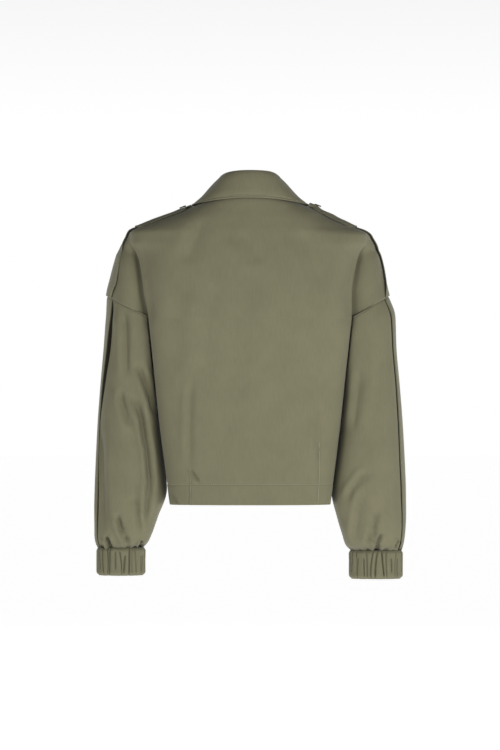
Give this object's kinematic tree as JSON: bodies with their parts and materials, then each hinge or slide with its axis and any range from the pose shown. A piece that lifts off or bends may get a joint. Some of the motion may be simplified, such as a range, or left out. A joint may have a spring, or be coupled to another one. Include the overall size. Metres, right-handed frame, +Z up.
{
  "type": "blazer",
  "caption": "Cropped cotton blazer, filled out as worn, with a turned-down collar, shoulder straps, storm flaps, dropped sleeves with a deep pleat, and cuffs gathered on elastic.",
  "frame": {"origin": "on the wearer's shoulder line, below the middle of the neck, where the shoulders carry the blazer", "axes": "+Z up, +Y towards the front, +X to the wearer's right"},
  "size_m": [0.5754, 0.2392, 0.755],
  "materials": {
    "twill": "olive cotton twill, matt, with a faint diagonal rib",
    "button": "dark olive, satin"
  },
  "bodies": {
    "root": {"back": "twill", "front_left": "twill", "front_right": "twill", "sleeve_left": "twill", "sleeve_right": "twill", "cuff_left": "twill", "cuff_right": "twill", "collar": "twill", "lapel_left": "twill", "lapel_right": "twill", "flap_left": "twill", "flap_right": "twill", "epaulette_left": "twill", "epaulette_right": "twill", "epaulette_button_left": "button", "epaulette_button_right": "button", "front_button_1": "button", "front_button_2": "button", "front_button_3": "button"}
  },
  "joints": []
}
